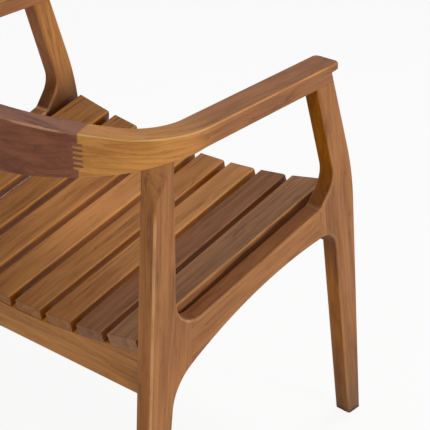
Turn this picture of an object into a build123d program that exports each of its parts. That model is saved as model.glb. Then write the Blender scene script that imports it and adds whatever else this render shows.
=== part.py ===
from build123d import *
import os
from math import asin, cos, degrees, radians, sin, sqrt, tan

# A wooden garden armchair. It faces -Y and stands on the floor at Z = 0, centred on X.
# All sizes are in millimetres. Left and right are those of a person in the chair.

# Horseshoe of arms and crest rail
arm_height = 660
width_over_arms = 612
arm_width = 45
arm_thickness = 26.5
arm_lip_thickness = 14
arm_lip_bevel = 4
arm_overhang = 12
arm_nose_radius = 9
arm_top_edge_radius = 3
arm_ramp_radius = 100
outer_corner_radius = 118
inner_corner_radius = 80
back_rear = 274.6
back_radius = 579
back_thickness = 36
crest_height = 82.5
crest_arch_overrun = 6

# Finger joint between an arm and the crest rail
finger_joint_inset = 48
finger_count = 5
finger_pitch = 7.5
finger_length = 14
finger_taper = 0.4
finger_top_shoulder = 14

# Side frames: two legs and a rail, cut from flat stock and turned in towards the rear
frame_inset = 8
frame_toe_in = 2.87
frame_thickness = 30
frame_edge_bevel = 3
foot_chamfer = 2.5

# Front leg, seen from the side
front_leg_lead = 23.7
front_leg_top_depth = 39.8
front_leg_rake = 110
front_foot_depth = 29.3
front_knee_depth = 43.8
front_knee_radius = 450
front_hollow_radius = 40
knee_setback = 36
knee_rise = 40

# Rear leg, seen from the side
rear_leg_behind_corner = 87
rear_leg_top_depth = 35
rear_leg_rake = 36
rear_foot_depth = 34
rear_blend_start = 20
rear_blend_drop = 45
rear_blend_spread = 16

# Side rail, seen from the side
side_rail_length = 282
rear_joint_lead = 27
side_rail_front_rise = 36.5
side_rail_rear_rise = 22.5
side_rail_front_depth = 49.5
side_rail_rear_depth = 79
side_rail_arch_radius = 700
front_haunch_length = 42
rear_haunch_length = 32.5
haunch_lead = 4
haunch_top_radius = 12
front_haunch_radius = 30
rear_haunch_radius = 74
rear_hollow_radius = 42

# Seat slats, laid on a dish that slopes down to the rear
slat_count = 8
outer_slat_extra_width = 16.5
outer_slat_taper = 10.5
slat_gap = 12.2
slat_frame_gap = 0.7
slat_thickness = 20
slat_edge_radius = 3.5
seat_slope = 10.9
seat_front_height = 409
seat_dish_radius = 975

# Front and rear seat rails
cross_rail_thickness = 28
front_rail_lead = 61
front_rail_depth = 34
rear_rail_lead = 50.7
rear_rail_depth = 50
cross_rail_setback = 3

# Joinery and feet
joint_clearance = 0.1
tenon_thickness = 10
tenon_end_room = 0.5
side_tenon_height = 30
side_tenon_length = 56
cross_tenon_height = 30
cross_tenon_rise = 6
cross_tenon_length = 40
arm_tenon_width = 16
arm_tenon_length = 36
arm_tenon_rear_inset = 10
glide_diameter = 20
glide_height = 3

os.makedirs("parts", exist_ok=True)


def export_piece(piece, label):
    """Name a finished piece and write it to its own file."""
    piece.label = label
    export_step(piece, f"parts/{label}.step")


# Heights and lines that several pieces share
arm_underside = arm_height - arm_thickness
crest_underside = arm_height - crest_height
half_width = width_over_arms / 2
back_centre = back_rear - back_radius
corner_offset = half_width - outer_corner_radius
corner_depth = back_centre + sqrt((back_radius - outer_corner_radius) ** 2 - corner_offset**2)

# Depths along Y, one hung on the other from the round of the back to the front of the arms
rear_leg_top_rear = corner_depth + rear_leg_behind_corner
rear_leg_top_front = rear_leg_top_rear - rear_leg_top_depth
rear_foot_rear = rear_leg_top_rear + rear_leg_rake
rear_joint = rear_leg_top_front - rear_joint_lead
front_joint = rear_joint - side_rail_length
front_leg_top_front = front_joint - front_leg_lead
front_foot_front = front_leg_top_front - front_leg_rake
arm_front = front_leg_top_front - arm_overhang
front_rail_middle = front_joint - front_rail_lead
rear_rail_middle = rear_joint + rear_rail_lead
slat_overrun = cross_rail_thickness / 2 + cross_rail_setback
seat_front = front_rail_middle - slat_overrun
seat_rear = rear_rail_middle + slat_overrun
slope = radians(seat_slope)
seat_fall = tan(slope)
slat_length = (seat_rear - seat_front) / cos(slope)


def seat_height(depth):
    """Height of the seat's middle at a distance along Y: a line that falls to the rear."""
    return seat_front_height - seat_fall * (depth - seat_front)


front_rail_top = seat_height(front_joint) + side_rail_front_rise
rear_rail_top = seat_height(rear_joint) + side_rail_rear_rise
rail_fall = (front_rail_top - rear_rail_top) / (rear_joint - front_joint)


def rail_top(depth):
    """Height of the side rail's top edge, on the straight line between its two joints."""
    return front_rail_top - rail_fall * (depth - front_joint)


def depth_at(low, high, height):
    """Depth, at a height, on the straight line through two points of the side view."""
    return low[0] + (high[0] - low[0]) * (height - low[1]) / (high[1] - low[1])


# The side view's plane: its x runs to the rear and its y runs up
toe = radians(frame_toe_in)
frame_half_width = half_width - frame_inset
inner_half_width = frame_half_width - frame_thickness / cos(toe)
side_plane = Plane(
    origin=(frame_half_width, 0, 0),
    x_dir=(-sin(toe), cos(toe), 0),
    z_dir=(cos(toe), sin(toe), 0),
)
rearward = side_plane.x_dir
outward = side_plane.z_dir


def frame_point(depth, height):
    """Point in the middle of the side frame's thickness."""
    return side_plane.from_local_coords((depth, height, -frame_thickness / 2))


# Horseshoe of arms and crest rail, in one, before the finger joints part it
def horseshoe(half_span, radius, corner_radius, front):
    """Outline from above: two straight sides, a long arc behind and two round corners."""
    side_end = back_centre + sqrt(radius**2 - half_span**2)
    with BuildSketch() as outline:
        with BuildLine():
            Polyline((half_span, side_end), (half_span, front), (-half_span, front), (-half_span, side_end))
            ThreePointArc((half_span, side_end), (0, back_centre + radius), (-half_span, side_end))
        make_face()
        fillet(outline.vertices().group_by(Axis.Y)[-1], corner_radius)
    return outline.sketch


horseshoe_outside = horseshoe(half_width, back_radius, outer_corner_radius, arm_front)
horseshoe_inside = horseshoe(
    half_width - arm_width, back_radius - back_thickness, inner_corner_radius, 2 * arm_front
)
ramp_drop = crest_height - arm_thickness
ramp_run = sqrt(arm_ramp_radius**2 - (arm_ramp_radius - ramp_drop) ** 2)

with BuildPart() as band:
    with BuildSketch(Plane.XY.offset(crest_underside)):
        add(horseshoe_outside)
        add(horseshoe_inside, mode=Mode.SUBTRACT)
    extrude(amount=crest_height)
    fillet(band.edges().filter_by(Axis.Z).group_by(Axis.Y)[0], arm_nose_radius)

    # The crest rail's underside is a wide arch, lowest in the middle of the back
    with BuildSketch(Plane.XZ):
        with BuildLine():
            span_end = half_width + crest_arch_overrun
            ThreePointArc((-span_end, arm_underside), (0, crest_underside), (span_end, arm_underside))
            Polyline((-span_end, arm_underside), (-span_end, 0), (span_end, 0), (span_end, arm_underside))
        make_face()
    extrude(amount=2 * back_rear, both=True, mode=Mode.SUBTRACT)

    # The arms' underside is level, then curves down round the corners to the crest rail
    with BuildSketch(Plane.YZ):
        with BuildLine():
            ramp_end = corner_depth + ramp_run
            RadiusArc((corner_depth, arm_underside), (ramp_end, crest_underside), arm_ramp_radius)
            Polyline(
                (corner_depth, arm_underside),
                (2 * arm_front, arm_underside),
                (2 * arm_front, 0),
                (ramp_end, 0),
                (ramp_end, crest_underside),
            )
        make_face()
    extrude(amount=width_over_arms, both=True, mode=Mode.SUBTRACT)

    # The top edge is rounded all the way round
    fillet(band.faces().sort_by(Axis.Z)[-1].edges(), arm_top_edge_radius)

# Finger joint: a zigzag of tapered fingers, on a plane square to the back's arc
corner_start = corner_offset * back_radius / (back_radius - outer_corner_radius)
joint_angle = asin((corner_start - finger_joint_inset) / back_radius)
finger_plane = Plane(
    origin=(0, back_centre, 0),
    x_dir=(cos(joint_angle), -sin(joint_angle), 0),
    z_dir=(-sin(joint_angle), -cos(joint_angle), 0),
)
reach = finger_length / 2
zone_top = arm_height + arm_thickness
zone_bottom = crest_underside - arm_thickness
finger_line = [(0, zone_top)]
for finger in range(finger_count):
    top = arm_height - finger_top_shoulder - finger * finger_pitch
    middle = top - finger_pitch / 2
    bottom = top - finger_pitch
    finger_line += [(reach, top - finger_taper), (reach, middle + finger_taper)]
    finger_line += [(-reach, middle - finger_taper), (-reach, bottom + finger_taper)]
finger_line.insert(1, (0, arm_height - finger_top_shoulder))
finger_line += [(0, arm_height - finger_top_shoulder - finger_count * finger_pitch), (0, zone_bottom)]

with BuildPart() as arm_zone:
    with BuildSketch(finger_plane):
        with BuildLine():
            Polyline(*finger_line, (width_over_arms, zone_bottom), (width_over_arms, zone_top), close=True)
        make_face()
    extrude(amount=2 * back_radius, both=True)


# Joinery: loose tenons and the mortises round them
def tenon(plane, height, thickness, length):
    """Flat peg: height along the plane's x, length both ways along its normal."""
    with BuildPart() as peg:
        with BuildSketch(plane):
            Rectangle(height, thickness)
        extrude(amount=length / 2, both=True)
    return peg.part


def mortise(plane, height, thickness, length):
    """Space for a tenon, larger by the clearance all round and by the end room at each end."""
    spare = 2 * joint_clearance
    return tenon(plane, height + spare, thickness + spare, length + 2 * tenon_end_room)


up = (0, 0, 1)
front_joint_middle = rail_top(front_joint) - side_rail_front_depth / 2
rear_joint_middle = rail_top(rear_joint) - side_rail_rear_depth / 2
side_tenon_size = (side_tenon_height, tenon_thickness, side_tenon_length)
front_side_plane = Plane(frame_point(front_joint, front_joint_middle), x_dir=up, z_dir=rearward)
rear_side_plane = Plane(frame_point(rear_joint, rear_joint_middle), x_dir=up, z_dir=rearward)

slat_drop = slat_thickness / cos(slope)
front_rail_bottom = seat_height(front_rail_middle) - slat_drop - front_rail_depth
rear_rail_bottom = seat_height(rear_rail_middle) - slat_drop - rear_rail_depth
cross_tenon_size = (cross_tenon_height, tenon_thickness, cross_tenon_length)


def cross_plane(depth, height):
    """Plane on a side frame's inner face, at a cross rail's end."""
    return Plane((inner_half_width - depth * tan(toe), depth, height), x_dir=up, z_dir=(1, 0, 0))


front_cross_height = front_rail_bottom + front_rail_depth / 2 + cross_tenon_rise
rear_cross_height = rear_rail_bottom + rear_rail_depth / 2 + cross_tenon_rise
front_cross_plane = cross_plane(front_rail_middle, front_cross_height)
rear_cross_plane = cross_plane(rear_rail_middle, rear_cross_height)

arm_tenon_size = (arm_tenon_width, tenon_thickness, arm_tenon_length)
front_leg_top_middle = front_leg_top_front + front_leg_top_depth / 2
front_arm_plane = Plane(frame_point(front_leg_top_middle, arm_underside), x_dir=rearward, z_dir=up)
rear_arm_plane = Plane(
    frame_point(rear_leg_top_front + arm_tenon_rear_inset, arm_underside - arm_tenon_length / 4),
    x_dir=rearward,
    z_dir=up,
)

front_side_mortise = mortise(front_side_plane, *side_tenon_size)
rear_side_mortise = mortise(rear_side_plane, *side_tenon_size)
front_cross_mortise = mortise(front_cross_plane, *cross_tenon_size)
rear_cross_mortise = mortise(rear_cross_plane, *cross_tenon_size)
front_arm_mortise = mortise(front_arm_plane, *arm_tenon_size)
rear_arm_mortise = mortise(rear_arm_plane, *arm_tenon_size)

# Corners of the side frame's outline, each a depth and a height in the side view
leg_top = arm_underside + arm_thickness / 2
leg_bottom = -arm_thickness
knee_hollow = (front_joint - knee_setback, front_rail_top + knee_rise)
knee_front = (knee_hollow[0] - front_knee_depth, knee_hollow[1])
front_top_front = (front_leg_top_front, arm_underside)
front_top_rear = (front_leg_top_front + front_leg_top_depth, arm_underside)
front_foot = (front_foot_front, 0)
front_heel = (front_foot_front + front_foot_depth, 0)
front_haunch_top = (front_joint - haunch_lead, rail_top(front_joint - haunch_lead))
front_haunch = (front_joint - front_haunch_length, front_rail_top - side_rail_front_depth)
rear_hollow = (rear_leg_top_front, rail_top(rear_leg_top_front))
rear_haunch_depth = rear_joint + rear_haunch_length
rear_haunch = (rear_haunch_depth, rail_top(rear_haunch_depth) - side_rail_rear_depth)
rear_top = (rear_leg_top_rear, arm_underside)
rear_heel = (rear_foot_rear, 0)
rear_foot = (rear_foot_rear - rear_foot_depth, 0)
corner_radii = {
    knee_front: front_knee_radius,
    knee_hollow: front_hollow_radius,
    front_haunch_top: haunch_top_radius,
    rear_hollow: rear_hollow_radius,
    rear_haunch: rear_haunch_radius,
    front_haunch: front_haunch_radius,
}

# Arms and crest rail. An arm's front end overhangs the leg with a thin lip, and below the lip it is flush
lip_underside = arm_height - arm_lip_thickness
with BuildPart() as arm_left:
    add(band.part)
    add(arm_zone.part, mode=Mode.INTERSECT)
    with BuildSketch(side_plane):
        with BuildLine():
            Polyline(
                (depth_at(knee_front, front_top_front, lip_underside), lip_underside),
                (2 * arm_front, lip_underside),
                (2 * arm_front, crest_underside),
                (depth_at(knee_front, front_top_front, crest_underside), crest_underside),
                close=True,
            )
        make_face()
    extrude(amount=2 * arm_width, both=True, mode=Mode.SUBTRACT)
    # The lip's lower edge is eased, and so are the flush part's upright edges, as on the leg
    lip_face = arm_left.faces().filter_by(Axis.Z).sort_by(Axis.Y)[0]
    chamfer(lip_face.edges().sort_by(Axis.Y)[:3], arm_lip_bevel)
    below_lip = arm_left.faces().filter_by(lambda face: face.center().Z < lip_underside)
    flush_face = below_lip.sort_by(Axis.Y)[0]
    chamfer(flush_face.edges().group_by(Axis.Z)[1], frame_edge_bevel)
    add(front_arm_mortise, mode=Mode.SUBTRACT)
    add(rear_arm_mortise, mode=Mode.SUBTRACT)
export_piece(arm_left.part, "arm_left")

with BuildPart() as arm_right:
    mirror(arm_left.part, about=Plane.YZ)
export_piece(arm_right.part, "arm_right")

with BuildPart() as crest_rail:
    add(band.part)
    add(arm_zone.part, mode=Mode.SUBTRACT)
    mirror(arm_zone.part, about=Plane.YZ, mode=Mode.SUBTRACT)
export_piece(crest_rail.part, "crest_rail")

# Side frame in one outline, before its joints part it into two legs and a rail
with BuildPart() as side_frame:
    with BuildSketch(side_plane) as side_outline:
        with BuildLine():
            Polyline(
                front_haunch,
                (depth_at(front_heel, front_haunch, leg_bottom), leg_bottom),
                (depth_at(front_foot, knee_front, leg_bottom), leg_bottom),
                knee_front,
                (depth_at(knee_front, front_top_front, leg_top), leg_top),
                (depth_at(knee_hollow, front_top_rear, leg_top), leg_top),
                knee_hollow,
                front_haunch_top,
                rear_hollow,
                (rear_leg_top_front, leg_top),
                (depth_at(rear_heel, rear_top, leg_top), leg_top),
                (depth_at(rear_heel, rear_top, leg_bottom), leg_bottom),
                (depth_at(rear_foot, rear_haunch, leg_bottom), leg_bottom),
                rear_haunch,
            )
            RadiusArc(front_haunch, rear_haunch, side_rail_arch_radius)
        make_face()
        for corner, radius in corner_radii.items():
            fillet(side_outline.vertices().sort_by_distance(Vector(*corner))[0], radius)
    extrude(amount=-frame_thickness)
    flat_faces = side_frame.faces().filter_by(Axis((0, 0, 0), outward))
    chamfer(flat_faces.edges(), frame_edge_bevel)
    split(bisect_by=Plane.XY.offset(glide_height), keep=Keep.TOP)
    chamfer(side_frame.faces().group_by(Axis.Z)[0].edges(), foot_chamfer)

foot_middles = [
    frame_point(front_foot_front + front_foot_depth / 2, 0),
    frame_point(rear_foot_rear - rear_foot_depth / 2, 0),
]
between_legs = Plane(frame_point((front_joint + rear_joint) / 2, 0), x_dir=outward, z_dir=rearward)

# The side rail is what stands between the two upright joint lines, below the knee
with BuildPart() as rail_zone:
    with BuildSketch(side_plane):
        with BuildLine():
            Polyline(
                (front_joint, leg_bottom),
                (rear_joint, leg_bottom),
                (rear_joint, knee_hollow[1]),
                (front_joint, knee_hollow[1]),
                close=True,
            )
        make_face()
    extrude(amount=2 * frame_thickness, both=True)

# The rear leg's top is flush with the arm's round corner, and a cone about it fades into the leg below
blend_top = arm_underside - rear_blend_start
blend_radius = outer_corner_radius - joint_clearance
with BuildPart() as rear_blend:
    with BuildSketch(Plane.XZ.offset(-corner_depth)):
        with BuildLine():
            Polyline(
                (corner_offset + blend_radius, leg_top),
                (corner_offset + blend_radius, blend_top),
                (corner_offset + blend_radius + rear_blend_spread, blend_top - rear_blend_drop),
                (2 * half_width, blend_top - rear_blend_drop),
                (2 * half_width, leg_top),
                close=True,
            )
        make_face()
    revolve(axis=Axis((corner_offset, corner_depth, 0), (0, 0, 1)))

# Legs
with BuildPart() as front_leg_left:
    add(side_frame.part)
    split(bisect_by=between_legs, keep=Keep.BOTTOM)
    split(bisect_by=Plane.XY.offset(arm_underside), keep=Keep.BOTTOM)
    add(rail_zone.part, mode=Mode.SUBTRACT)
    add(front_arm_mortise, mode=Mode.SUBTRACT)
    add(front_side_mortise, mode=Mode.SUBTRACT)
    add(front_cross_mortise, mode=Mode.SUBTRACT)
export_piece(front_leg_left.part, "front_leg_left")

with BuildPart() as front_leg_right:
    mirror(front_leg_left.part, about=Plane.YZ)
export_piece(front_leg_right.part, "front_leg_right")

with BuildPart() as rear_leg_left:
    add(side_frame.part)
    split(bisect_by=between_legs, keep=Keep.TOP)
    add(rail_zone.part, mode=Mode.SUBTRACT)
    add(rear_blend.part, mode=Mode.SUBTRACT)
    add(band.part, mode=Mode.SUBTRACT)
    add(rear_arm_mortise, mode=Mode.SUBTRACT)
    add(rear_side_mortise, mode=Mode.SUBTRACT)
    add(rear_cross_mortise, mode=Mode.SUBTRACT)
export_piece(rear_leg_left.part, "rear_leg_left")

with BuildPart() as rear_leg_right:
    mirror(rear_leg_left.part, about=Plane.YZ)
export_piece(rear_leg_right.part, "rear_leg_right")

# Side rails
with BuildPart() as side_rail_left:
    add(side_frame.part)
    add(rail_zone.part, mode=Mode.INTERSECT)
    add(front_side_mortise, mode=Mode.SUBTRACT)
    add(rear_side_mortise, mode=Mode.SUBTRACT)
export_piece(side_rail_left.part, "side_rail_left")

with BuildPart() as side_rail_right:
    mirror(side_rail_left.part, about=Plane.YZ)
export_piece(side_rail_right.part, "side_rail_right")

# Seat: a plane on top of each slat, at its front end, with the slats spread round the dish
seat_plane = Plane(
    origin=(0, seat_front, seat_front_height),
    x_dir=(1, 0, 0),
    z_dir=(0, sin(slope), cos(slope)),
)
slat_lean = slat_thickness * inner_half_width / seat_dish_radius
rear_half_width = inner_half_width - seat_rear * tan(toe) - slat_frame_gap - slat_lean
seat_half_width = rear_half_width + outer_slat_taper
seat_span = 2 * seat_dish_radius * asin(seat_half_width / seat_dish_radius)
slat_room = seat_span - (slat_count - 1) * slat_gap - 2 * outer_slat_extra_width
slat_width = slat_room / slat_count
outer_slat_width = slat_width + outer_slat_extra_width
slat_widths = [outer_slat_width] + (slat_count - 2) * [slat_width] + [outer_slat_width]
slat_planes = []
left_edge = seat_span / 2
for width in slat_widths:
    turn = (left_edge - width / 2) / seat_dish_radius
    rise = seat_dish_radius * (1 - cos(turn))
    shift = Location((seat_dish_radius * sin(turn), 0, rise), (0, -degrees(turn), 0))
    slat_planes.append(Plane(seat_plane.location * shift))
    left_edge -= width + slat_gap

for number, plane in enumerate(slat_planes):
    half = slat_widths[number] / 2
    left_taper = outer_slat_taper if number == 0 else 0
    right_taper = outer_slat_taper if number == slat_count - 1 else 0
    with BuildPart() as slat:
        with BuildSketch(plane):
            with BuildLine():
                Polyline(
                    (half, 0),
                    (half - left_taper, slat_length),
                    (right_taper - half, slat_length),
                    (-half, 0),
                    close=True,
                )
            make_face()
        extrude(amount=-slat_thickness)
        long_edges = slat.edges().filter_by(lambda edge: edge.length > slat_length / 2)
        fillet(long_edges, slat_edge_radius)
    export_piece(slat.part, f"slat_{number + 1}")

# Seat rails: their tops follow the dish, so that each slat's flat underside bears on them
bearing = outer_slat_width / 2 - slat_edge_radius
rail_dish_radius = sqrt((seat_dish_radius + slat_thickness) ** 2 + bearing**2)
dish_plane = Plane(
    origin=seat_plane.from_local_coords((0, 0, seat_dish_radius)),
    x_dir=seat_plane.x_dir,
    z_dir=seat_plane.y_dir,
)
end_rise = seat_dish_radius * (1 - cos(seat_span / 2 / seat_dish_radius))

with BuildPart() as dish:
    with BuildSketch(dish_plane):
        Circle(rail_dish_radius)
    extrude(amount=2 * slat_length, both=True)

with BuildPart() as frame_gap:
    with BuildSketch():
        with BuildLine():
            front_half = inner_half_width - front_foot_front * tan(toe)
            rear_half = inner_half_width - back_rear * tan(toe)
            Polyline(
                (front_half, front_foot_front),
                (rear_half, back_rear),
                (-rear_half, back_rear),
                (-front_half, front_foot_front),
                close=True,
            )
        make_face()
    extrude(amount=arm_height)


def cross_rail(middle, bottom, depth, end_mortise):
    """Rail between the side frames: straight below, dished above, with a mortise in each end."""
    with BuildPart() as rail:
        with BuildSketch(Plane.XY.offset(bottom)):
            with Locations((0, middle)):
                Rectangle(width_over_arms, cross_rail_thickness)
        extrude(amount=depth + end_rise)
        add(frame_gap.part, mode=Mode.INTERSECT)
        add(dish.part, mode=Mode.SUBTRACT)
        chamfer(rail.faces().sort_by(Axis.Z)[0].edges().filter_by(Axis.X), frame_edge_bevel)
        add(end_mortise, mode=Mode.SUBTRACT)
        mirror(end_mortise, about=Plane.YZ, mode=Mode.SUBTRACT)
    return rail.part


front_seat_rail = cross_rail(front_rail_middle, front_rail_bottom, front_rail_depth, front_cross_mortise)
export_piece(front_seat_rail, "front_seat_rail")

rear_seat_rail = cross_rail(rear_rail_middle, rear_rail_bottom, rear_rail_depth, rear_cross_mortise)
export_piece(rear_seat_rail, "rear_seat_rail")

# Loose tenons and foot glides, each kind in a group
front_side_tenon = tenon(front_side_plane, *side_tenon_size)
rear_side_tenon = tenon(rear_side_plane, *side_tenon_size)
front_cross_tenon = tenon(front_cross_plane, *cross_tenon_size)
rear_cross_tenon = tenon(rear_cross_plane, *cross_tenon_size)
front_arm_tenon = tenon(front_arm_plane, *arm_tenon_size)
rear_arm_tenon = tenon(rear_arm_plane, *arm_tenon_size)

with BuildPart() as side_rail_tenons:
    add([front_side_tenon, rear_side_tenon])
    mirror(about=Plane.YZ)
export_piece(side_rail_tenons.part, "side_rail_tenons")

with BuildPart() as cross_rail_tenons:
    add([front_cross_tenon, rear_cross_tenon])
    mirror(about=Plane.YZ)
export_piece(cross_rail_tenons.part, "cross_rail_tenons")

with BuildPart() as arm_tenons:
    add([front_arm_tenon, rear_arm_tenon])
    mirror(about=Plane.YZ)
export_piece(arm_tenons.part, "arm_tenons")

with BuildPart() as foot_glides:
    with BuildSketch():
        with Locations(*foot_middles):
            Circle(glide_diameter / 2)
    extrude(amount=glide_height)
    mirror(about=Plane.YZ)
export_piece(foot_glides.part, "foot_glides")
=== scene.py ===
# %% [markdown]
# # A garden armchair in oiled hardwood
# The chair is all wood: two flat arms that run round the back into a darker crest rail, four
# shaped legs, and a seat of eight slats laid on a shallow dish. The solid model already has these
# shapes, so this lesson is about dressing them: a wood that is cut from a board with a real grain
# direction, a plain studio, and a camera at the viewing angle.

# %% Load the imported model
import math

import bpy
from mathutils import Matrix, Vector


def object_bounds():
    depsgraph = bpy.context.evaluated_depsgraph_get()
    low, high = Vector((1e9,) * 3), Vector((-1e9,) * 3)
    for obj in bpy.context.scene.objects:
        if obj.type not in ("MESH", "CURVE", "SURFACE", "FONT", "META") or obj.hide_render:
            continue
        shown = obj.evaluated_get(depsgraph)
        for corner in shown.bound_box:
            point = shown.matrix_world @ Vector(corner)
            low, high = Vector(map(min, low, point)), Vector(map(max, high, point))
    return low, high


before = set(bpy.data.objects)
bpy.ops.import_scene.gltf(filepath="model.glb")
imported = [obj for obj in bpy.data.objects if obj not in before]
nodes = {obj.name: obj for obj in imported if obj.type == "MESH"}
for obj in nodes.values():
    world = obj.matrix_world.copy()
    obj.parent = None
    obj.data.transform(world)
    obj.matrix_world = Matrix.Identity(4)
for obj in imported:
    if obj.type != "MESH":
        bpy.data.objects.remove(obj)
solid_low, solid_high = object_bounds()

scene = bpy.context.scene
size_mm = [round(1000 * (high - low)) for low, high in zip(solid_low, solid_high)]
print(len(nodes), "pieces, size in mm:", size_mm)

# %% [markdown]
# ## Small helpers
# Colours are easiest to pick as the hex codes of a paint program, but a shader works with light, so
# one function undoes the screen's curve. Another adds a node and fills its inputs with plain values,
# sockets or earlier nodes. An earlier node stands for the first output that its options leave in use,
# which keeps a material readable from top to bottom.

# %% Helpers for colours and nodes
def linear(hex_code):
    """Linear colour of an sRGB hex code: c / 12.92 near black, else ((c + 0.055) / 1.055) to the 2.4."""
    parts = [int(hex_code[i : i + 2], 16) / 255 for i in (1, 3, 5)]
    return tuple(c / 12.92 if c <= 0.04045 else ((c + 0.055) / 1.055) ** 2.4 for c in parts) + (1.0,)


def fill(tree, node, inputs):
    """Set or link a node's inputs, given by name or number."""
    for name, value in inputs.items():
        if isinstance(value, bpy.types.Node):
            value = next(socket for socket in value.outputs if socket.enabled)
        if isinstance(value, bpy.types.NodeSocket):
            tree.links.new(value, node.inputs[name])
        else:
            node.inputs[name].default_value = value


def add(tree, kind, inputs, **settings):
    """Add one node, set its options and fill its inputs."""
    made = tree.nodes.new(kind)
    for name, value in settings.items():
        setattr(made, name, value)
    fill(tree, made, inputs)
    return made


print("mid brown is", [round(c, 3) for c in linear("#a06a42")[:3]])

# %% [markdown]
# ## The frame of a board
# Acacia is a dense garden wood: golden sapwood, brown heartwood, soft growth bands a few millimetres
# wide, and open pores that oil turns into short dark dashes. Cut along the fibres they are streaks;
# cut across them they are flecks. A pattern that fills space shows both by itself, so every texture
# here is solid. It is laid out in a frame whose x runs along the fibres. An arm's fibres follow its
# round corner, so there the frame is bent: x is the length along the round, y the distance from its
# middle.

# %% Frames for straight and bent boards
# Radius in metres that turns an angle round the corner into a length
round_radius = 0.1


def straight_frame(tree, here, fibres, place):
    """Frame in metres with x along the fibres and its origin at a place of the chair."""
    turn = Vector(fibres).to_track_quat("X", "Z").to_euler()
    inputs = {"Vector": here, "Rotation": turn, "Location": place}
    return add(tree, "ShaderNodeMapping", inputs, vector_type="TEXTURE")


def bent_frame(tree, here, middle, place):
    """Frame that follows an arm: along it, x is the depth, and round the corner, radius times angle."""
    parts = add(tree, "ShaderNodeSeparateXYZ", {0: here}).outputs
    side = add(tree, "ShaderNodeMath", {0: parts["X"]}, operation="ABSOLUTE")
    out = add(tree, "ShaderNodeMath", {0: side, 1: middle[0]}, operation="SUBTRACT")
    back = add(tree, "ShaderNodeMath", {0: parts["Y"], 1: middle[1]}, operation="SUBTRACT")
    behind = add(tree, "ShaderNodeMath", {0: back, 1: 0.0}, operation="MAXIMUM")
    before = add(tree, "ShaderNodeMath", {0: back, 1: 0.0}, operation="MINIMUM")
    angle = add(tree, "ShaderNodeMath", {0: behind, 1: out}, operation="ARCTAN2")
    run = add(tree, "ShaderNodeMath", {0: angle, 1: round_radius, 2: before}, operation="MULTIPLY_ADD")
    flat = add(tree, "ShaderNodeCombineXYZ", {0: out, 1: behind})
    away = add(tree, "ShaderNodeVectorMath", {0: flat}, operation="LENGTH")
    bent = add(tree, "ShaderNodeCombineXYZ", {0: run, 1: away, 2: parts["Z"]})
    return add(tree, "ShaderNodeVectorMath", {0: bent, 1: place}, operation="SUBTRACT")


print("two kinds of board frame, with a round of", round_radius, "m for the bent one")

# %% [markdown]
# ## Grain
# A board's look is a few patterns on top of each other, each at its own size: broad ribbons where the
# fibres lean to and fro, long streaks of figure, single fibres, growth rings, thin dark veins and
# pores. Noise that is stretched along the fibres gives all but the rings, which repeat with the
# distance from the tree's middle. A smooth step of the Map Range node makes a mask of a pattern: it is
# 0 at From Min, 1 at From Max, and an S curve between them.

# %% Streaks, sums and steps
smooth = {"interpolation_type": "SMOOTHSTEP"}


def streaks(tree, board, size, detail, bend):
    """Noise whose grains have a length and a width in millimetres, drawn out along the fibres."""
    length, width = size
    grains = (1000 / length, 1000 / width, 1000 / width)
    scaled = add(tree, "ShaderNodeVectorMath", {0: board, 1: grains}, operation="MULTIPLY")
    inputs = {"Vector": scaled, "Scale": 1.0, "Detail": detail, "Roughness": 0.55, "Distortion": bend}
    return add(tree, "ShaderNodeTexNoise", inputs)


def weighted(tree, terms):
    """Sum of patterns, each times its weight."""
    total = 0.0
    for pattern, weight in terms:
        total = add(tree, "ShaderNodeMath", {0: pattern, 1: weight, 2: total}, operation="MULTIPLY_ADD")
    return total


print("streaks and sums are ready")

# %% Grain of one board
# Length and width in millimetres. Real pores are 0.2 mm wide, too fine to show, so they are drawn wider
figure_size = (300, 12)
ribbon_size = (170, 30)
fibre_size = (85, 2.4)
pore_size = (14, 1.2)
# Spacing of the growth rings, and how far the ribbons push them to and fro, in metres
ring_spacing = 0.009
ring_wave = 0.035


def grain(tree, board):
    """Share of dark wood, dark marks, figure and fibres of a board, each from 0 to 1.

    A ring is the part after the point of radius / spacing, cubed: it darkens slowly and ends at a sharp
    line. A vein lies where the figure crosses its middle value, but only in the dark ribbons.
    """
    figure = streaks(tree, board, figure_size, 4.0, 0.5)
    ribbon = streaks(tree, board, ribbon_size, 2.0, 0.4)
    fibre = streaks(tree, board, fibre_size, 2.0, 0.0)
    pores = streaks(tree, board, pore_size, 1.0, 0.0)

    flat = add(tree, "ShaderNodeVectorMath", {0: board, 1: (0.0, 1.0, 1.0)}, operation="MULTIPLY")
    radius = add(tree, "ShaderNodeVectorMath", {0: flat}, operation="LENGTH")
    wavy = weighted(tree, [(ribbon, ring_wave), (radius, 1.0)])
    count = add(tree, "ShaderNodeMath", {0: wavy, 1: 1 / ring_spacing}, operation="MULTIPLY")
    part = add(tree, "ShaderNodeMath", {0: count}, operation="FRACT")
    rings = add(tree, "ShaderNodeMath", {0: part, 1: 3.0}, operation="POWER")
    share = weighted(tree, [(figure, 0.75), (ribbon, 0.8), (fibre, 0.4), (rings, 0.22)])
    share = add(tree, "ShaderNodeMapRange", {"Value": share, "From Min": 0.62, "From Max": 1.46}, **smooth)

    off = add(tree, "ShaderNodeMath", {0: figure, 1: 0.5}, operation="SUBTRACT")
    off = add(tree, "ShaderNodeMath", {0: off}, operation="ABSOLUTE")
    vein = add(tree, "ShaderNodeMapRange", {"Value": off, "From Min": 0.02, "From Max": 0.0}, **smooth)
    within = add(tree, "ShaderNodeMapRange", {"Value": ribbon, "From Min": 0.48, "From Max": 0.62}, **smooth)
    vein = add(tree, "ShaderNodeMath", {0: vein, 1: within}, operation="MULTIPLY")
    pores = add(tree, "ShaderNodeMapRange", {"Value": pores, "From Min": 0.60, "From Max": 0.74}, **smooth)
    mark = weighted(tree, [(pores, 0.3), (vein, 0.65)])
    return share, mark, figure, fibre


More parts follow.
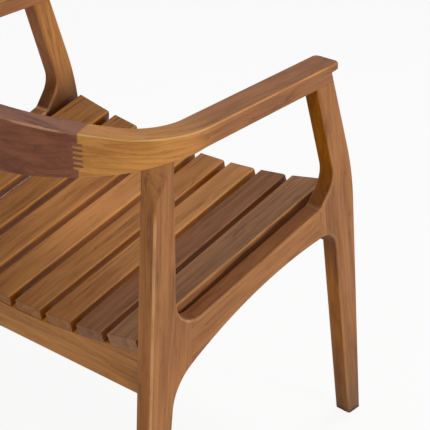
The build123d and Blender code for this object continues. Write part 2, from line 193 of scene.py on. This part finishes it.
print("grain is ready, with rings", 1000 * ring_spacing, "mm apart")

# %% [markdown]
# ## Colour
# The grain only says how dark the wood is at a place. The colours come from the board's tones: light
# wood, dark wood, veins and paler edges. One board can hold both sapwood and heartwood, so a board may
# also drift from its own tones to others. On some slats the drift to darker tones towards the back is
# painted shade of the crest rail.

# %% Colours of one board
# A Mix node's sockets for colours go by number: the share, the first colour and the second
SHARE, FIRST, SECOND = 0, 6, 7
colours = {"data_type": "RGBA"}


def board_colours(tree, here, share, mark, tones, drift):
    """Colours of a board's wood and of its paler edges, a painted highlight with wear.

    drift is None, or the depths in metres where a change to other tones begins and ends, and those tones.
    """
    light, dark, vein, worn_lit = [linear(code) for code in tones]
    wood = add(tree, "ShaderNodeMix", {SHARE: share, FIRST: light, SECOND: dark}, **colours)
    if drift:
        light, dark, other_vein, other_worn_lit = [linear(code) for code in drift["tones"]]
        depth = add(tree, "ShaderNodeSeparateXYZ", {0: here}).outputs["Y"]
        inputs = {"Value": depth, "From Min": drift["begin"], "From Max": drift["end"]}
        change = add(tree, "ShaderNodeMapRange", inputs, **smooth)
        other = add(tree, "ShaderNodeMix", {SHARE: share, FIRST: light, SECOND: dark}, **colours)
        wood = add(tree, "ShaderNodeMix", {SHARE: change, FIRST: wood, SECOND: other}, **colours)
        vein = add(tree, "ShaderNodeMix", {SHARE: change, FIRST: vein, SECOND: other_vein}, **colours)
        worn_lit = add(tree, "ShaderNodeMix", {SHARE: change, FIRST: worn_lit, SECOND: other_worn_lit}, **colours)
    wood = add(tree, "ShaderNodeMix", {SHARE: mark, FIRST: wood, SECOND: vein}, **colours)
    return wood, worn_lit


print("colours are ready")

# %% [markdown]
# ## Painted light and shade
# Faces that look up get a greyer, lighter painted sheen, and faces that look along one axis get painted
# light and shade. The corners where seat and legs meet get painted shade, and so do the feet, towards the
# floor.

# %% Painted shade at the seat and the feet
# Heights in metres where the painted shade at the seat begins and where it is full, from above and from below
corner_shade_above = (0.53, 0.41)
corner_shade_below = (0.28, 0.36)
# Painted shade climbs from the floor to the first height, and the tip of the foot darkens from the second to
# the third
foot_shade_height = 0.24
tip_top, tip_bottom = 0.018, 0.004


def seat_corner(tree, height, normal, facing, amount):
    """Mask of painted shade on the faces that look into the corner of seat and leg: an amount at the seat, 0
    further off.
    """
    turned = add(tree, "ShaderNodeVectorMath", {0: normal, 1: facing}, operation="DOT_PRODUCT")
    mask = add(tree, "ShaderNodeMapRange", {"Value": turned, "From Min": 0.3, "From Max": 0.6}, **smooth)
    for (far, near), most in ((corner_shade_above, amount), (corner_shade_below, 1.0)):
        inputs = {"Value": height, "From Min": far, "From Max": near, "To Max": most}
        reach = add(tree, "ShaderNodeMapRange", inputs, **smooth)
        mask = add(tree, "ShaderNodeMath", {0: mask, 1: reach}, operation="MULTIPLY")
    return mask


def foot_shade_mask(tree, height, fibre):
    """Mask of painted shade on the foot: it fades upwards, with a ragged edge, and its last millimetres are
    darkest.
    """
    ragged = weighted(tree, [(fibre, 0.04), (height, 1.0)])
    inputs = {"Value": ragged, "From Min": foot_shade_height, "From Max": 0.0, "To Max": 0.55}
    fade = add(tree, "ShaderNodeMapRange", inputs, **smooth)
    inputs = {"Value": height, "From Min": tip_top, "From Max": tip_bottom, "To Max": 0.4}
    tip = add(tree, "ShaderNodeMapRange", inputs, **smooth)
    return add(tree, "ShaderNodeMath", {0: fade, 1: tip}, operation="ADD")


print("damp climbs", round(1000 * foot_shade_height), "mm")

# %% Painted light and shade on one board
# Colour of the painted shade in the corner at the seat
corner_shade = linear("#431b08")
# Colour of the painted shade towards the feet
foot_shade = linear("#1c120b")


def painted_shading(tree, here, normal, wood, fibre, habit):
    """Colour of the wood with its painted sheen, light and shade, as its habit says."""
    height = add(tree, "ShaderNodeSeparateXYZ", {0: here}).outputs["Z"]
    lean = add(tree, "ShaderNodeSeparateXYZ", {0: normal}).outputs
    # Painted sheen: faces that look up are made greyer, and lighter where the habit says
    inputs = {"Value": lean["Z"], "From Min": 0.75, "From Max": 0.98, "To Max": habit["top_sheen"]}
    upward = add(tree, "ShaderNodeMapRange", inputs, **smooth)
    inputs = {"Saturation": 0.72, "Value": habit.get("top_sheen_lightening", 1.0), "Fac": upward, "Color": wood}
    wood = add(tree, "ShaderNodeHueSaturation", inputs)
    # Painted light and shade on the faces that look along one axis
    if "facing_shading" in habit:
        toward = lean[habit["shading_axis"]]
        if habit["both_ways"]:
            toward = add(tree, "ShaderNodeMath", {0: toward}, operation="ABSOLUTE")
        inner = add(tree, "ShaderNodeMapRange", {"Value": toward, "From Min": 0.6, "From Max": 0.9}, **smooth)
        wood = add(tree, "ShaderNodeHueSaturation", {**habit["facing_shading"], "Fac": inner, "Color": wood})
    # Painted shade in the corner where seat and leg meet
    if "corner" in habit:
        mask = seat_corner(tree, height, normal, **habit["corner"])
        wood = add(tree, "ShaderNodeMix", {SHARE: mask, FIRST: wood, SECOND: corner_shade}, **colours)
    # Painted shade that grows towards the floor, and a darker tip of the foot
    if habit.get("foot"):
        mask = foot_shade_mask(tree, height, fibre)
        wood = add(tree, "ShaderNodeMix", {SHARE: mask, FIRST: wood, SECOND: foot_shade}, **colours)
    return wood


print("weather is ready")

# %% [markdown]
# ## Paler edges: painted highlight and wear
# The maker eased every edge. The edges are painted paler in patches: a painted highlight where they
# catch the light, together with wear from hands and weather. The normal tells where they are: on an eased
# edge it lies between those of the two faces that meet there. A Bevel node finds the sharp edges in the
# same way: it turns the normal away from the true one there.

# %% Masks of the edges
# Length and width of the patches in millimetres, and the height in metres over which a leg's paler edges fade
patch_size = (60, 25)
worn_lit_fade = 0.03


def eased_edge(tree, board, normal, axis):
    """Mask of 1 on an eased edge, where the normal is part of the way along an axis, in patches."""
    lean = add(tree, "ShaderNodeSeparateXYZ", {0: normal}).outputs[axis]
    lean = add(tree, "ShaderNodeMath", {0: lean}, operation="ABSOLUTE")
    begun = add(tree, "ShaderNodeMapRange", {"Value": lean, "From Min": 0.22, "From Max": 0.45}, **smooth)
    ended = add(tree, "ShaderNodeMapRange", {"Value": lean, "From Min": 0.97, "From Max": 0.85}, **smooth)
    mask = add(tree, "ShaderNodeMath", {0: begun, 1: ended}, operation="MULTIPLY")
    patch = streaks(tree, board, patch_size, 2.0, 0.0)
    inputs = {"Value": patch, "From Min": 0.3, "From Max": 0.6, "To Min": 0.4, "To Max": 1.0}
    patch = add(tree, "ShaderNodeMapRange", inputs, **smooth)
    return add(tree, "ShaderNodeMath", {0: mask, 1: patch}, operation="MULTIPLY")


def worn_lit_edges(tree, here, board, normal, rounded, habit):
    """Mask of the paler edges, painted highlight with wear: the larger of the masks of the sharp and the
    eased ones.
    """
    # Sharp and eased edges are painted paler: painted highlight with wear
    same = add(tree, "ShaderNodeVectorMath", {0: rounded, 1: normal}, operation="DOT_PRODUCT")
    inputs = {"Value": same, "From Min": 0.96, "From Max": 0.80, "To Max": 0.25}
    sharp = add(tree, "ShaderNodeMapRange", inputs, **smooth)
    eased = eased_edge(tree, board, normal, habit["edge"])
    eased = add(tree, "ShaderNodeMath", {0: eased, 1: habit["wear_and_light"]}, operation="MULTIPLY")
    if "worn_lit_below" in habit:
        top = habit["worn_lit_below"]
        height = add(tree, "ShaderNodeSeparateXYZ", {0: here}).outputs["Z"]
        inputs = {"Value": height, "From Min": top, "From Max": top - worn_lit_fade}
        low = add(tree, "ShaderNodeMapRange", inputs, **smooth)
        eased = add(tree, "ShaderNodeMath", {0: eased, 1: low}, operation="MULTIPLY")
    return add(tree, "ShaderNodeMath", {0: sharp, 1: eased}, operation="MAXIMUM")


print("worn edges are ready, in patches of", patch_size, "mm")

# %% [markdown]
# ## Oiled acacia
# All this comes together in one material. Oil leaves a satin sheen, a little duller where the figure is
# dark, and the fibres and pores stand out just enough to break it up.

# %% The wood material
# Radius that the Bevel node gives a sharp edge, and height of the relief of fibres and pores, in metres
edge_radius = 0.003
relief_height = 0.0004


def start_material(name):
    """New material, its node tree, and the place on the chair that is being shaded."""
    material = bpy.data.materials.new(name)
    material.use_nodes = True
    tree = material.node_tree
    return material, tree, add(tree, "ShaderNodeTexCoord", {}).outputs["Object"]


def oiled_acacia(name, tones, fibres, place, habit):
    """One board of oiled wood.

    tones are its light wood, dark wood, veins and paler edges. fibres is the direction of its grain, or
    for a bent board the middle of its round corner, and place is where in the tree it was cut. habit
    says what else it has: bent, a painted sheen on faces that look up, painted light and shade on faces
    that look along one axis, drift to other tones with depth, painted shade in the corner at the seat
    and towards the foot, and how much its eased edges are painted paler, as highlight with wear, and
    below what height.
    """
    material, tree, here = start_material(name)
    normal = add(tree, "ShaderNodeNewGeometry", {}).outputs["Normal"]
    rounded = add(tree, "ShaderNodeBevel", {"Radius": edge_radius}, samples=6)
    lay_out = bent_frame if habit.get("bent") else straight_frame
    board = lay_out(tree, here, fibres, place)
    share, mark, figure, fibre = grain(tree, board)

    wood, worn_lit = board_colours(tree, here, share, mark, tones, habit.get("drift"))
    wood = painted_shading(tree, here, normal, wood, fibre, habit)
    edges = worn_lit_edges(tree, here, board, normal, rounded, habit)
    # Paler edges: painted highlight with wear
    wood = add(tree, "ShaderNodeMix", {SHARE: edges, FIRST: wood, SECOND: worn_lit}, **colours)

    inputs = {"Value": figure, "From Min": 0.3, "From Max": 0.7, "To Min": 0.42, "To Max": 0.56}
    satin = add(tree, "ShaderNodeMapRange", inputs)
    rise = weighted(tree, [(fibre, 1.0), (mark, -0.8)])
    inputs = {"Height": rise, "Normal": rounded, "Strength": 0.3, "Distance": relief_height}
    relief = add(tree, "ShaderNodeBump", inputs)
    finish = {"Base Color": wood, "Roughness": satin, "Normal": relief, "Specular IOR Level": 0.2}
    fill(tree, tree.nodes["Principled BSDF"], finish)
    return material


print("oiled acacia is ready")

# %% [markdown]
# ## A board for every piece
# Pieces of one tree still differ: each is another board, with its own tone and its own place in the
# log. The arms are golden round the corner and browner towards the hands, the crest rail is red-brown
# heartwood, and the slats run from brown through gold to red-brown and a greyer brown. Each piece's
# fibres follow its length, as a maker would lay it out.

# %% Tones of the boards
# Light wood, dark wood, veins and paler edges, painted highlight with wear
golden = ("#d0914a", "#a3682e", "#744519", "#dfb26c")
tan = ("#a36b3f", "#7d4d2d", "#573215", "#bd8848")
heart = ("#90563a", "#6b3c28", "#482618", "#c99572")
frame_brown = ("#a8703e", "#814f2a", "#583316", "#d5a374")
straw = ("#c68946", "#965e2d", "#693f1b", "#d5a374")
honey = ("#bb7d3e", "#905829", "#5f3814", "#c48b48")
russet = ("#a1692e", "#7b491e", "#532f0f", "#c08744")
fawn = ("#cc894a", "#9d6734", "#6d451e", "#d7a25a")
amber = ("#c48343", "#97622f", "#69421b", "#cf9a50")
umber = ("#945e39", "#6a4225", "#452714", "#b37a4c")
dusky = ("#a7754a", "#784f31", "#503420", "#d19c50")
print("eleven tones, from", golden[0], "to", heart[0])

# %% Habits of the boards
# Each habit sets a painted sheen on faces that look up, and may set painted light and shade on faces that
# look along one axis; both_ways says if they may look either way along it. A hue of 0.5 leaves the hue as
# it is. Depths and heights are in metres
arm_habit = {
    "bent": True,
    "top_sheen": 0.15,
    "drift": {"begin": 0.085, "end": 0.19, "tones": golden},
    "edge": "Z",
    "wear_and_light": 0.9,
}
crest_habit = {"top_sheen": 0.4, "top_sheen_lightening": 1.5, "edge": "Z", "wear_and_light": 0.8}
leg_habit = {"top_sheen": 0.2, "shading_axis": "Y", "both_ways": False, "edge": "X", "foot": True}
# Near front leg: painted light on its rear faces, and painted shade in the corner at the seat
front_leg_habit = {
    **leg_habit,
    "facing_shading": {"Hue": 0.5, "Saturation": 1.12, "Value": 1.10},
    "corner": {"facing": (0.7, 0.7, 0.0), "amount": 0.5},
    "wear_and_light": 0.25,
    "worn_lit_below": 0.62,
}
# Far front leg: painted shade on its rear faces, and darker painted shade in the corner at the seat
pale_leg_habit = {
    **front_leg_habit,
    "facing_shading": {"Hue": 0.49, "Saturation": 1.05, "Value": 0.80},
    "corner": {"facing": (-0.7, 0.7, 0.0), "amount": 0.95},
}
# Rear legs: painted light on their rear faces
rear_leg_habit = {
    **leg_habit,
    "facing_shading": {"Hue": 0.5, "Saturation": 1.04, "Value": 1.2},
    "wear_and_light": 0.55,
    "worn_lit_below": 0.57,
}
# Rails: painted shade on their top and bottom faces. Slats: painted shade on their side faces in the gaps
rail_habit = {
    "top_sheen": 0.0,
    "shading_axis": "Z",
    "both_ways": True,
    "facing_shading": {"Hue": 0.494, "Saturation": 1.02, "Value": 0.86},
    "edge": "X",
    "wear_and_light": 0.3,
}
slat_habit = {
    "top_sheen": 0.1,
    "shading_axis": "X",
    "both_ways": True,
    "facing_shading": {"Hue": 0.492, "Saturation": 1.06, "Value": 0.92},
    "edge": "X",
    "wear_and_light": 0.45,
}
# On slats 3 to 6 the drift to russet towards the back is painted shade of the crest rail
rear_shaded_slat_habit = {**slat_habit, "drift": {"begin": -0.02, "end": 0.2, "tones": russet}}
hidden_habit = {"top_sheen": 0.0, "edge": "Z", "wear_and_light": 0.0}
print("a front leg's habit:", sorted(front_leg_habit))

# %% Dress the pieces
# Middle of an arm's round corner, and the directions of the fibres
arm_round = (0.188, 0.103)
seat_slope = math.radians(10.9)
seat_run = (0.0, math.cos(seat_slope), -math.sin(seat_slope))
front_run = (0.0, 0.17, 0.985)
rear_run = (0.0, -0.057, 0.998)
rail_run = (0.0, 0.97, -0.24)
across = (1.0, 0.0, 0.0)
upright = (0.0, 0.0, 1.0)
boards = {
    "crest_rail": (heart, across, (0.0, 0.21, 0.55), crest_habit),
    "arm_left": (tan, arm_round, (0.3, 0.13, 0.56), arm_habit),
    "arm_right": (tan, arm_round, (0.0, 0.12, 0.58), arm_habit),
    "front_leg_left": (straw, front_run, (0.22, -0.10, 0.0), pale_leg_habit),
    "front_leg_right": (frame_brown, front_run, (-0.23, -0.13, 0.0), front_leg_habit),
    "rear_leg_left": (frame_brown, rear_run, (0.20, 0.28, 0.0), rear_leg_habit),
    "rear_leg_right": (frame_brown, rear_run, (-0.235, 0.13, 0.12), rear_leg_habit),
    "side_rail_left": (frame_brown, rail_run, (0.22, 0.0, 0.30), rail_habit),
    "side_rail_right": (frame_brown, rail_run, (-0.23, 0.0, 0.28), rail_habit),
    "front_seat_rail": (umber, across, (0.0, -0.27, 0.33), rail_habit),
    "rear_seat_rail": (amber, across, (0.0, 0.26, 0.25), rail_habit),
    "slat_1": (russet, seat_run, (0.20, 0.0, 0.34), slat_habit),
    "slat_2": (russet, seat_run, (0.11, 0.0, 0.35), slat_habit),
    "slat_3": (honey, seat_run, (0.14, 0.0, 0.33), rear_shaded_slat_habit),
    "slat_4": (fawn, seat_run, (0.025, 0.06, 0.325), rear_shaded_slat_habit),
    "slat_5": (honey, seat_run, (-0.07, 0.0, 0.31), rear_shaded_slat_habit),
    "slat_6": (fawn, seat_run, (-0.05, 0.0, 0.34), rear_shaded_slat_habit),
    "slat_7": (umber, seat_run, (-0.12, 0.0, 0.32), slat_habit),
    "slat_8": (dusky, seat_run, (-0.19, 0.0, 0.33), slat_habit),
    "side_rail_tenons": (honey, rail_run, (0.1, 0.0, 0.3), hidden_habit),
    "cross_rail_tenons": (honey, across, (0.0, 0.1, 0.3), hidden_habit),
    "arm_tenons": (honey, upright, (0.1, 0.1, 0.0), hidden_habit),
}


def dress(piece, material):
    """Give a piece one material in place of those it has."""
    nodes[piece].data.materials.clear()
    nodes[piece].data.materials.append(material)


for piece, (tones, fibres, place, habit) in boards.items():
    dress(piece, oiled_acacia("oiled_acacia_" + piece, tones, fibres, place, habit))
print("dressed", len(boards), "wooden pieces")

# %% [markdown]
# ## Moulded glides
# Each foot stands on a small dark polyethylene glide. Moulded plastic has a fine even texture and a
# dull sheen.

# %% The glides
grit_mm = 0.8


def moulded_glide(name):
    """Dark plastic with a fine grit, drawn coarser than life so that it shows."""
    material, tree, here = start_material(name)
    grit = add(tree, "ShaderNodeTexNoise", {"Vector": here, "Scale": 1000 / grit_mm, "Detail": 2.0})
    inputs = {SHARE: grit, FIRST: linear("#1d1a18"), SECOND: linear("#3a332d")}
    shade = add(tree, "ShaderNodeMix", inputs, **colours)
    relief = add(tree, "ShaderNodeBump", {"Height": grit, "Strength": 0.3, "Distance": 0.0002})
    finish = {"Base Color": shade, "Normal": relief, "Roughness": 0.6}
    fill(tree, tree.nodes["Principled BSDF"], finish)
    return material


dress("foot_glides", moulded_glide("moulded_polyethylene_glide"))
print("dressed the glides, with a grit of", grit_mm, "mm")

# %% [markdown]
# ## A plain studio
# The floor is a wide white sheet. To the camera it is mostly plain white, with a share of real
# shading mixed in so that the chair's shadow still shows. To every other ray, apart from mirrored and
# refracted ones, it is just a pale matt floor. The world is an even white, like a light tent: the
# camera sees it at full strength, and the chair is lit by a share of it.

# %% Floor
# Half the floor's width, and how far it lies below the glides so that no two faces coincide, in metres
floor_reach = 12.0
floor_drop = 0.0005
# How much of what the camera sees is plain white
white_share = 0.9
floor_mesh = bpy.data.meshes.new("floor")
turns = ((-1, -1), (1, -1), (1, 1), (-1, 1))
corners = [(floor_reach * x, floor_reach * y, -floor_drop) for x, y in turns]
floor_mesh.from_pydata(corners, [], [(0, 1, 2, 3)])
floor = bpy.data.objects.new("floor", floor_mesh)
scene.collection.objects.link(floor)

white = (1.0, 1.0, 1.0, 1.0)
paper = bpy.data.materials.new("white_paper_sweep")
paper.use_nodes = True
tree = paper.node_tree
tree.nodes.remove(tree.nodes["Principled BSDF"])
matt = add(tree, "ShaderNodeBsdfDiffuse", {"Color": linear("#f0efed")})
glow = add(tree, "ShaderNodeEmission", {"Color": white, "Strength": 1.0})
rays = add(tree, "ShaderNodeLightPath", {}).outputs
seen = rays["Is Camera Ray"]
for ray in ("Is Glossy Ray", "Is Transmission Ray"):
    seen = add(tree, "ShaderNodeMath", {0: seen, 1: rays[ray]}, operation="MAXIMUM")
part = add(tree, "ShaderNodeMath", {0: seen, 1: white_share}, operation="MULTIPLY")
mixed = add(tree, "ShaderNodeMixShader", {0: part, 1: matt, 2: glow})
fill(tree, tree.nodes["Material Output"], {"Surface": mixed})
floor_mesh.materials.append(paper)
print("floor made,", 2 * floor_reach, "m wide")

# %% World
tent_strength = 0.385
tent = bpy.data.worlds.new("white_tent")
scene.world = tent
tent.use_nodes = True
tree = tent.node_tree
camera_ray = add(tree, "ShaderNodeLightPath", {}).outputs["Is Camera Ray"]
lit = add(tree, "ShaderNodeMapRange", {"Value": camera_ray, "To Min": tent_strength, "To Max": 1.0})
fill(tree, tree.nodes["Background"], {"Strength": lit, "Color": white})
print("world made, strength", tent_strength)

# %% [markdown]
# ## Soft light
# A large lamp stands far off on the chair's right and shows the outer faces. A smaller one hangs in
# front and above, over the right arm, so that the arm shades the rail below it. A weak one behind keeps
# the faces of the back from going dull. Soft lamps give the soft shadow edges of a product photograph.

# %% Lamps
def soft_lamp(name, place, aim, size, power):
    """Square area lamp at a place, turned so that it shines at its aim."""
    lamp = bpy.data.lights.new(name, "AREA")
    lamp.size = size
    lamp.energy = power
    stand = bpy.data.objects.new(name, lamp)
    stand.location = place
    stand.rotation_euler = (Vector(aim) - Vector(place)).to_track_quat("-Z", "Y").to_euler()
    scene.collection.objects.link(stand)


seat_middle = (0.0, 0.0, 0.45)
soft_lamp("side_lamp", place=(-4.2, -0.5, 1.3), aim=seat_middle, size=1.4, power=82.0)
soft_lamp("top_lamp", place=(-0.32, -0.9, 2.3), aim=seat_middle, size=0.7, power=17.5)
soft_lamp("rear_lamp", place=(-0.9, 4.0, 1.5), aim=seat_middle, size=1.4, power=24.0)
print("three lamps made")

# %% [markdown]
# ## The camera
# A long lens from behind the chair's right side, above the arm's height, so that the back rail
# crosses the picture and the far front leg shows over it.

# %% Camera
viewpoint = (-1.3610, 1.3948, 1.4111)
forward = (0.5599, -0.6828, -0.4693)
camera_data = bpy.data.cameras.new("view_camera")
camera_data.sensor_width = 36.0
camera_data.lens = 117.62
camera = bpy.data.objects.new("view_camera", camera_data)
camera.location = viewpoint
camera.rotation_euler = Vector(forward).to_track_quat("-Z", "Y").to_euler()
scene.collection.objects.link(camera)
scene.camera = camera
scene.view_settings.view_transform = "Standard"
print("camera set, lens", round(camera_data.lens, 2), "mm")
